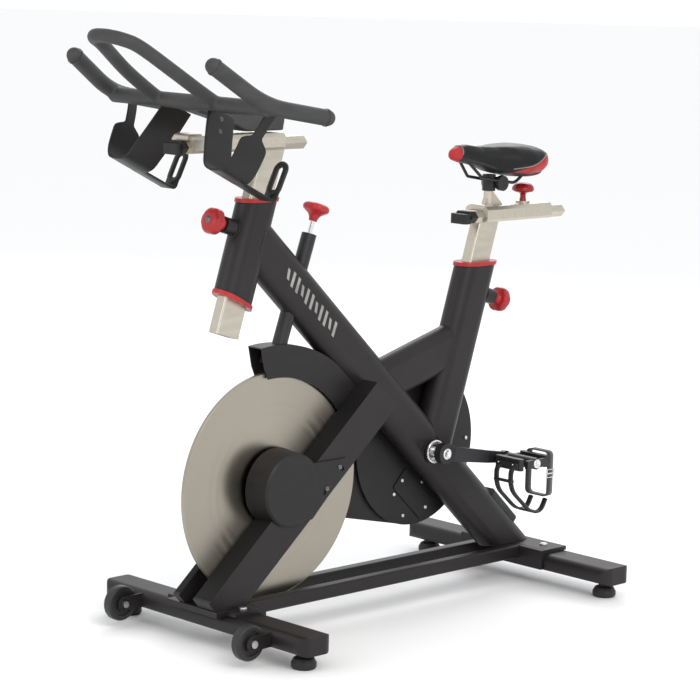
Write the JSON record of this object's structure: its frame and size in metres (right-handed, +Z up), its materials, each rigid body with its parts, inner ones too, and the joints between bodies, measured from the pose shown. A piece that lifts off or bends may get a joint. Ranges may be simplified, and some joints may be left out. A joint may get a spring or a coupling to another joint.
{
  "type": "indoor spin bike",
  "caption": "Indoor spin bike: oval-tube steel frame with polished flywheel, friction brake, belt drive, sliding saddle and handlebar, bottle cages and levelling feet.",
  "frame": {"origin": "on the floor under the middle of the bike's overall box", "axes": "+X towards the front of the bike, +Y to the rider's left, +Z up"},
  "size_m": [1.348, 0.624, 1.256],
  "materials": {
    "axle_steel": "machined",
    "base_steel": "satin charcoal powder coat",
    "bearing_steel": "machined",
    "belt_rubber": "ribbed belt",
    "black_plastic": "fine moulded texture",
    "bolt_steel": "zinc plated",
    "cage_plastic": "moulded",
    "chrome": "bright",
    "clip_plastic": "moulded",
    "crank_paint": "satin black",
    "flywheel_steel": "polished and turned",
    "foam": "soft dipped rubber skin",
    "frame_paint": "satin charcoal powder coat",
    "pedal_alloy": "black moulded pedal body",
    "pulley_metal": "machined",
    "rail_alloy": "satin anodised",
    "red_plastic": "smooth moulded",
    "rubber": "matte moulded rubber",
    "saddle_cover": "stitched synthetic leather",
    "slider_alloy": "satin anodised",
    "wheel_rubber": "moulded wheel",
    "wire_steel": "black"
  },
  "bodies": {
    "frame": {"main_tube": "frame_paint", "head_tube": "frame_paint", "seat_tube": "frame_paint", "top_brace": "frame_paint", "fork_leg_left": "frame_paint", "fork_leg_right": "frame_paint", "rail_left": "frame_paint", "rail_right": "frame_paint", "front_plate": "base_steel", "rear_plate": "base_steel", "step_pad": "rubber", "front_stabiliser": "base_steel", "rear_stabiliser": "base_steel", "frame_bolts": "bolt_steel", "bearings": "bearing_steel", "hub_cover": "black_plastic", "brake_shroud": "black_plastic", "brake_tube": "black_plastic", "guard_inner": "black_plastic", "guard_outer": "black_plastic", "inspection_cover": "black_plastic", "guard_screws": "bolt_steel", "post_bushings": "red_plastic", "drive_belt": "belt_rubber"},
    "flywheel_set": {"flywheel": "flywheel_steel", "flywheel_axle": "axle_steel", "flywheel_pulley": "pulley_metal"},
    "crankset": {"crank_pulley": "pulley_metal", "crank_axle": "axle_steel", "crank_left": "crank_paint", "crank_right": "crank_paint", "pedal_axles": "axle_steel"},
    "left_pedal": {"pedal_left": "pedal_alloy", "toe_clip_left": "clip_plastic"},
    "right_pedal": {"pedal_right": "pedal_alloy", "toe_clip_right": "clip_plastic"},
    "left_wheel": {"wheel_left": "wheel_rubber"},
    "right_wheel": {"wheel_right": "wheel_rubber"},
    "front_left_foot": {"foot_front_left": "rubber"},
    "front_right_foot": {"foot_front_right": "rubber"},
    "rear_left_foot": {"foot_rear_left": "rubber"},
    "rear_right_foot": {"foot_rear_right": "rubber"},
    "handlebar_mast": {"handlebar_post": "rail_alloy", "handlebar_rail_cap": "black_plastic"},
    "handlebar_carriage": {"handlebar_slider": "slider_alloy", "handlebar": "foam", "bottle_cage_left": "cage_plastic", "bottle_cage_right": "cage_plastic"},
    "seat_mast": {"seat_post": "rail_alloy", "seat_rail_cap": "black_plastic"},
    "seat_carriage": {"seat_slider": "slider_alloy", "saddle_clamp": "wire_steel"},
    "seat_lock": {"seat_knob": "red_plastic"},
    "saddle_set": {"saddle_rails": "wire_steel", "saddle": "saddle_cover"},
    "head_pin_knob": {"head_pin": "red_plastic"},
    "seat_pin_knob": {"seat_pin": "red_plastic"},
    "brake_plunger": {"brake_rod": "chrome", "brake_pad": "rubber"},
    "brake_control": {"brake_knob": "red_plastic"}
  },
  "joints": [
    {"name": "flywheel_spin", "type": "hinge", "parent": "frame", "child": "flywheel_set", "pos_m": [0.206, 0, 0.309], "axis": [0, 1, 0], "continuous": true},
    {"name": "crank_spin", "type": "hinge", "parent": "frame", "child": "crankset", "pos_m": [-0.258, 0, 0.33], "axis": [0, 1, 0], "continuous": true},
    {"name": "left_pedal_spin", "type": "hinge", "parent": "crankset", "child": "left_pedal", "pos_m": [-0.42635, 0.148, 0.30634], "axis": [0, 1, 0], "continuous": true},
    {"name": "right_pedal_spin", "type": "hinge", "parent": "crankset", "child": "right_pedal", "pos_m": [-0.08965, -0.153, 0.35366], "axis": [0, 1, 0], "continuous": true},
    {"name": "left_wheel_spin", "type": "hinge", "parent": "frame", "child": "left_wheel", "pos_m": [0.434, 0.2, 0.051], "axis": [0, 1, 0], "continuous": true},
    {"name": "right_wheel_spin", "type": "hinge", "parent": "frame", "child": "right_wheel", "pos_m": [0.434, -0.2, 0.051], "axis": [0, 1, 0], "continuous": true},
    {"name": "front_left_foot_level", "type": "slide", "parent": "frame", "child": "front_left_foot", "axis": [0, 0, 1], "range_m": [-0.012, 0]},
    {"name": "front_right_foot_level", "type": "slide", "parent": "frame", "child": "front_right_foot", "axis": [0, 0, 1], "range_m": [-0.012, 0]},
    {"name": "rear_left_foot_level", "type": "slide", "parent": "frame", "child": "rear_left_foot", "axis": [0, 0, 1], "range_m": [-0.012, 0]},
    {"name": "rear_right_foot_level", "type": "slide", "parent": "frame", "child": "rear_right_foot", "axis": [0, 0, 1], "range_m": [-0.012, 0]},
    {"name": "handlebar_height", "type": "slide", "parent": "frame", "child": "handlebar_mast", "axis": [-0.2924, 0, 0.9563], "range_m": [-0.06, 0.08]},
    {"name": "handlebar_reach", "type": "slide", "parent": "handlebar_mast", "child": "handlebar_carriage", "axis": [1, 0, 0], "range_m": [-0.055, 0.013]},
    {"name": "seat_height", "type": "slide", "parent": "frame", "child": "seat_mast", "axis": [-0.2924, 0, 0.9563], "range_m": [-0.065, 0.1]},
    {"name": "seat_reach", "type": "slide", "parent": "seat_mast", "child": "seat_carriage", "axis": [1, 0, 0], "range_m": [-0.045, 0.04]},
    {"name": "seat_lock_turn", "type": "hinge", "parent": "seat_carriage", "child": "seat_lock", "pos_m": [-0.56, 0, 0.88], "axis": [0, 0, 1], "range_deg": [-90, 90]},
    {"name": "saddle_tilt", "type": "hinge", "parent": "seat_carriage", "child": "saddle_set", "pos_m": [-0.465, 0, 0.911], "axis": [0, 1, 0], "range_deg": [-8, 8]},
    {"name": "head_pin_pull", "type": "slide", "parent": "frame", "child": "head_pin_knob", "axis": [0.9563, 0, 0.2924], "range_m": [0, 0.012], "stiffness_N_per_m": 600, "springref_m": -0.006},
    {"name": "seat_pin_pull", "type": "slide", "parent": "frame", "child": "seat_pin_knob", "axis": [-0.9563, 0, -0.2924], "range_m": [0, 0.012], "stiffness_N_per_m": 600, "springref_m": -0.006},
    {"name": "brake_press", "type": "slide", "parent": "frame", "child": "brake_plunger", "axis": [-0.3261, 0, 0.9453], "range_m": [-0.012, 0], "stiffness_N_per_m": 1200, "springref_m": 0.01},
    {"name": "brake_turn", "type": "hinge", "parent": "brake_plunger", "child": "brake_control", "pos_m": [0.09387, 0, 0.85547], "axis": [-0.3261, 0, 0.9453], "continuous": true}
  ],
  "couplings": [
    {"joint": "crank_spin", "follows": "flywheel_spin", "ratio": 0.27143}
  ]
}
